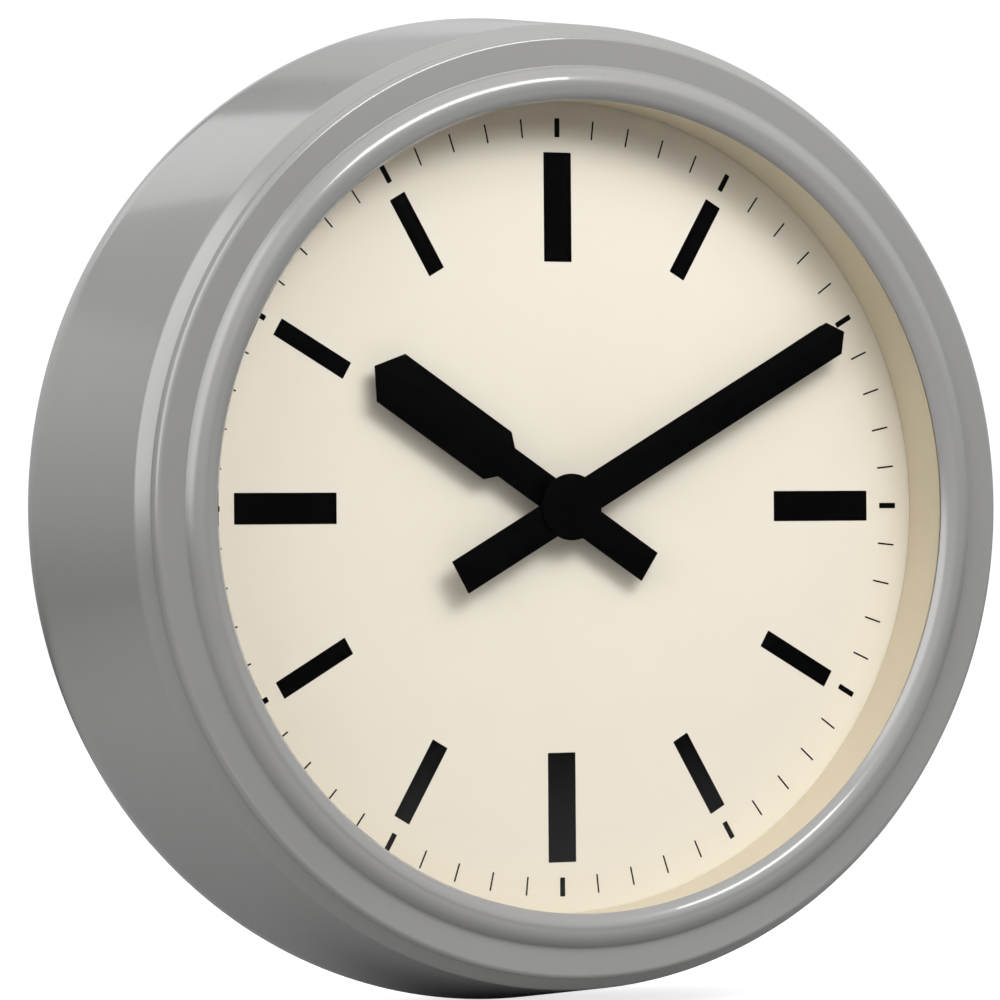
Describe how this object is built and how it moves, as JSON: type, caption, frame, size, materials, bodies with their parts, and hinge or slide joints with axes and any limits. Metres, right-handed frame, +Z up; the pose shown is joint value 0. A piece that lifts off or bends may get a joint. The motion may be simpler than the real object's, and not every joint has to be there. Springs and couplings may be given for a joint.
{
  "type": "wall clock",
  "caption": "Round deep-cased wall clock with a stepped bezel, bar markers, hour and minute hands, and a battery movement behind the dial.",
  "frame": {"origin": "centre of the flat rear rim, in the plane of the wall behind the clock", "axes": "+X to the right as the dial is read, +Z up, +Y out of the back into the wall; the dial faces -Y"},
  "size_m": [0.4494, 0.146, 0.4494],
  "materials": {
    "enamel": "gloss stoved enamel, neutral grey",
    "cream": "satin cream paint",
    "panel_black": "satin black paint",
    "hand_black": "matt black paint on aluminium sheet",
    "black_plastic": "moulded, fine texture",
    "zinc_steel": "zinc plated",
    "brass": "turned",
    "copper": "enamelled copper wire",
    "rubber": "matt",
    "white_nylon": "moulded",
    "board": "printed circuit board, solder mask",
    "cell": "plastic sleeve over a steel can",
    "clear_glass": "clear float glass"
  },
  "bodies": {
    "case": {"case_drum": "enamel", "bezel": "enamel", "reflector_ring": "cream", "dial_plate": "cream", "glass": "clear_glass", "glass_gasket": "rubber", "dial_washer": "rubber", "dial_post_1": "zinc_steel", "dial_screw_1": "zinc_steel", "panel_screw_1": "zinc_steel", "dial_post_2": "zinc_steel", "dial_screw_2": "zinc_steel", "panel_screw_2": "zinc_steel", "dial_post_3": "zinc_steel", "dial_screw_3": "zinc_steel", "panel_screw_3": "zinc_steel", "dial_post_4": "zinc_steel", "dial_screw_4": "zinc_steel", "panel_screw_4": "zinc_steel", "back_panel": "panel_black", "hanger_plate": "zinc_steel", "hanger_rivet_1": "zinc_steel", "hanger_rivet_2": "zinc_steel", "stem_washer": "brass", "stem_nut": "brass", "movement_front": "black_plastic", "movement_back": "black_plastic", "train_bridge": "white_nylon", "stator": "zinc_steel", "coil_core": "zinc_steel", "crystal": "zinc_steel", "contact_minus": "zinc_steel", "contact_plus": "zinc_steel", "coil": "copper", "circuit_board": "board"},
    "minute": {"minute_arbor": "brass", "clutch_spring": "zinc_steel", "minute_hand": "hand_black", "hub_cap": "hand_black"},
    "hour": {"hour_wheel": "brass", "hour_hand": "hand_black"},
    "motion": {"motion_wheel": "white_nylon"},
    "knob": {"setting_knob": "black_plastic"},
    "seconds": {"seconds_wheel": "white_nylon"},
    "third": {"third_wheel": "white_nylon"},
    "centre": {"centre_wheel": "white_nylon"},
    "idler": {"idler_wheel": "white_nylon"},
    "rotor": {"rotor": "zinc_steel"},
    "battery": {"battery": "cell"},
    "cover": {"battery_cover": "black_plastic"}
  },
  "joints": [
    {"name": "minute_turn", "type": "hinge", "parent": "case", "child": "minute", "pos_m": [0, 0, 0], "axis": [0, 1, 0], "continuous": true},
    {"name": "hour_turn", "type": "hinge", "parent": "case", "child": "hour", "pos_m": [0, 0, 0], "axis": [0, 1, 0], "continuous": true},
    {"name": "motion_turn", "type": "hinge", "parent": "case", "child": "motion", "pos_m": [-0.01164, 0, 0.00672], "axis": [0, 1, 0], "continuous": true},
    {"name": "knob_turn", "type": "hinge", "parent": "case", "child": "knob", "pos_m": [-0.01389, 0, 0.01948], "axis": [0, 1, 0], "continuous": true},
    {"name": "rotor_turn", "type": "hinge", "parent": "case", "child": "rotor", "pos_m": [0.01786, 0, 0.01918], "axis": [0, 1, 0], "continuous": true},
    {"name": "idler_turn", "type": "hinge", "parent": "case", "child": "idler", "pos_m": [0.01919, 0, 0.01165], "axis": [0, 1, 0], "continuous": true},
    {"name": "seconds_turn", "type": "hinge", "parent": "case", "child": "seconds", "pos_m": [0.01522, 0, 0.00476], "axis": [0, 1, 0], "continuous": true},
    {"name": "third_turn", "type": "hinge", "parent": "case", "child": "third", "pos_m": [0.00587, 0, 0.01016], "axis": [0, 1, 0], "continuous": true},
    {"name": "centre_turn", "type": "hinge", "parent": "case", "child": "centre", "pos_m": [0, 0, 0], "axis": [0, 1, 0], "continuous": true},
    {"name": "battery_slide", "type": "slide", "parent": "case", "child": "battery", "axis": [0, 1, 0], "range_m": [0, 0.02]},
    {"name": "cover_twist", "type": "hinge", "parent": "case", "child": "cover", "pos_m": [0, 0, 0], "axis": [0, 1, 0], "range_deg": [0, 30]}
  ],
  "couplings": [
    {"joint": "hour_turn", "follows": "minute_turn", "ratio": 0.083333},
    {"joint": "motion_turn", "follows": "minute_turn", "ratio": -0.33333},
    {"joint": "knob_turn", "follows": "minute_turn", "ratio": 1.1667},
    {"joint": "idler_turn", "follows": "rotor_turn", "ratio": -0.13333},
    {"joint": "seconds_turn", "follows": "rotor_turn", "ratio": 0.033333},
    {"joint": "third_turn", "follows": "rotor_turn", "ratio": -0.0041667},
    {"joint": "centre_turn", "follows": "rotor_turn", "ratio": 0.00055556}
  ]
}
